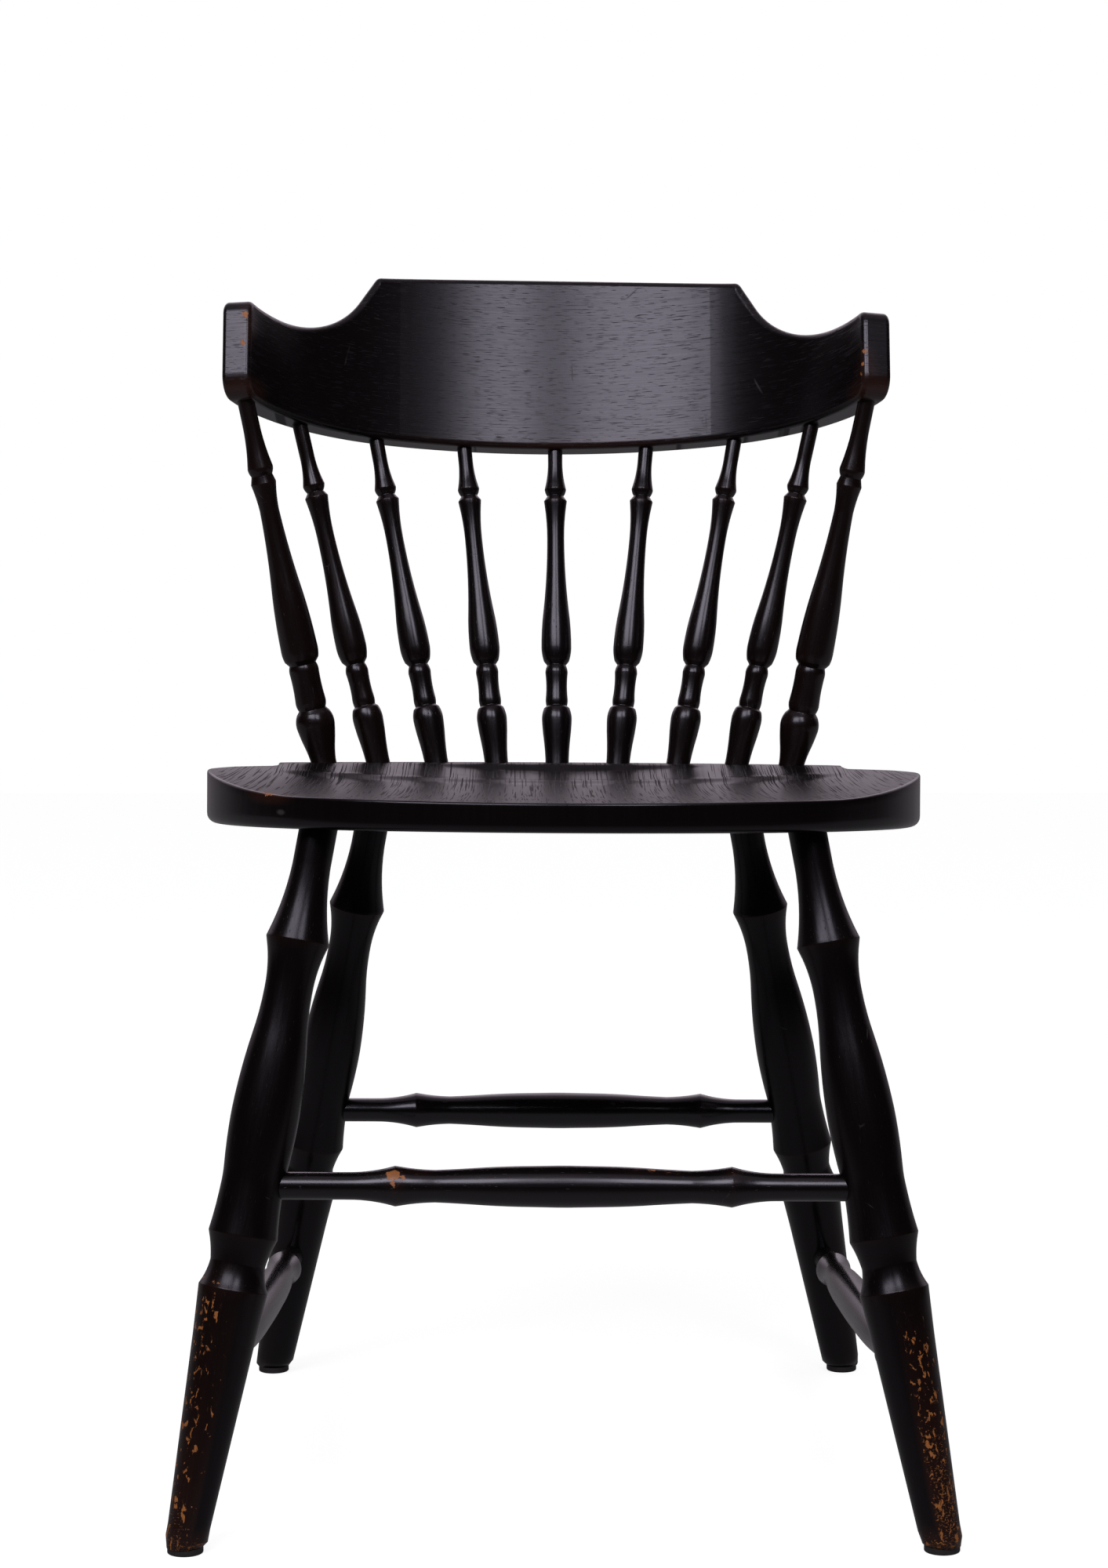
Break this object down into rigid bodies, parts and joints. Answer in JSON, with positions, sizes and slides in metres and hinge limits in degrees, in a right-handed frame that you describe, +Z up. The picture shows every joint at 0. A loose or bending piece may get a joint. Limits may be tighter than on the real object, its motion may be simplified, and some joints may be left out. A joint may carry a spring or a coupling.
{
  "type": "windsor side chair",
  "caption": "Windsor side chair with a dished plank seat, a curved crest rail with a raised panel, turned spindles, splayed turned legs and stretchers.",
  "frame": {"origin": "on the floor under the middle of the chair's bounding box", "axes": "+Z up, -Y the chair's front, +X to the right of someone who looks at the front"},
  "size_m": [0.4632, 0.4837, 0.7663],
  "materials": {
    "seat_wood": "black stain under worn satin lacquer, open grain from front to back",
    "crest_wood": "black stain under worn satin lacquer, grain along the rail",
    "spindle_wood": "black stain under glossy lacquer",
    "leg_wood": "black stain under satin lacquer, worn to bare wood on the outer edges",
    "stretcher_wood": "black stain under satin lacquer, worn at the rings",
    "glide_plastic": "dark moulded glide"
  },
  "bodies": {
    "root": {"seat": "seat_wood", "crest_rail": "crest_wood", "spindle_left_4": "spindle_wood", "spindle_left_3": "spindle_wood", "spindle_left_2": "spindle_wood", "spindle_left_1": "spindle_wood", "spindle_middle": "spindle_wood", "spindle_right_1": "spindle_wood", "spindle_right_2": "spindle_wood", "spindle_right_3": "spindle_wood", "spindle_right_4": "spindle_wood", "leg_front_left": "leg_wood", "leg_front_right": "leg_wood", "leg_rear_left": "leg_wood", "leg_rear_right": "leg_wood", "stretcher_front": "stretcher_wood", "stretcher_rear": "stretcher_wood", "stretcher_left": "stretcher_wood", "stretcher_right": "stretcher_wood", "glide_front_left": "glide_plastic", "glide_front_right": "glide_plastic", "glide_rear_left": "glide_plastic", "glide_rear_right": "glide_plastic"}
  },
  "joints": []
}
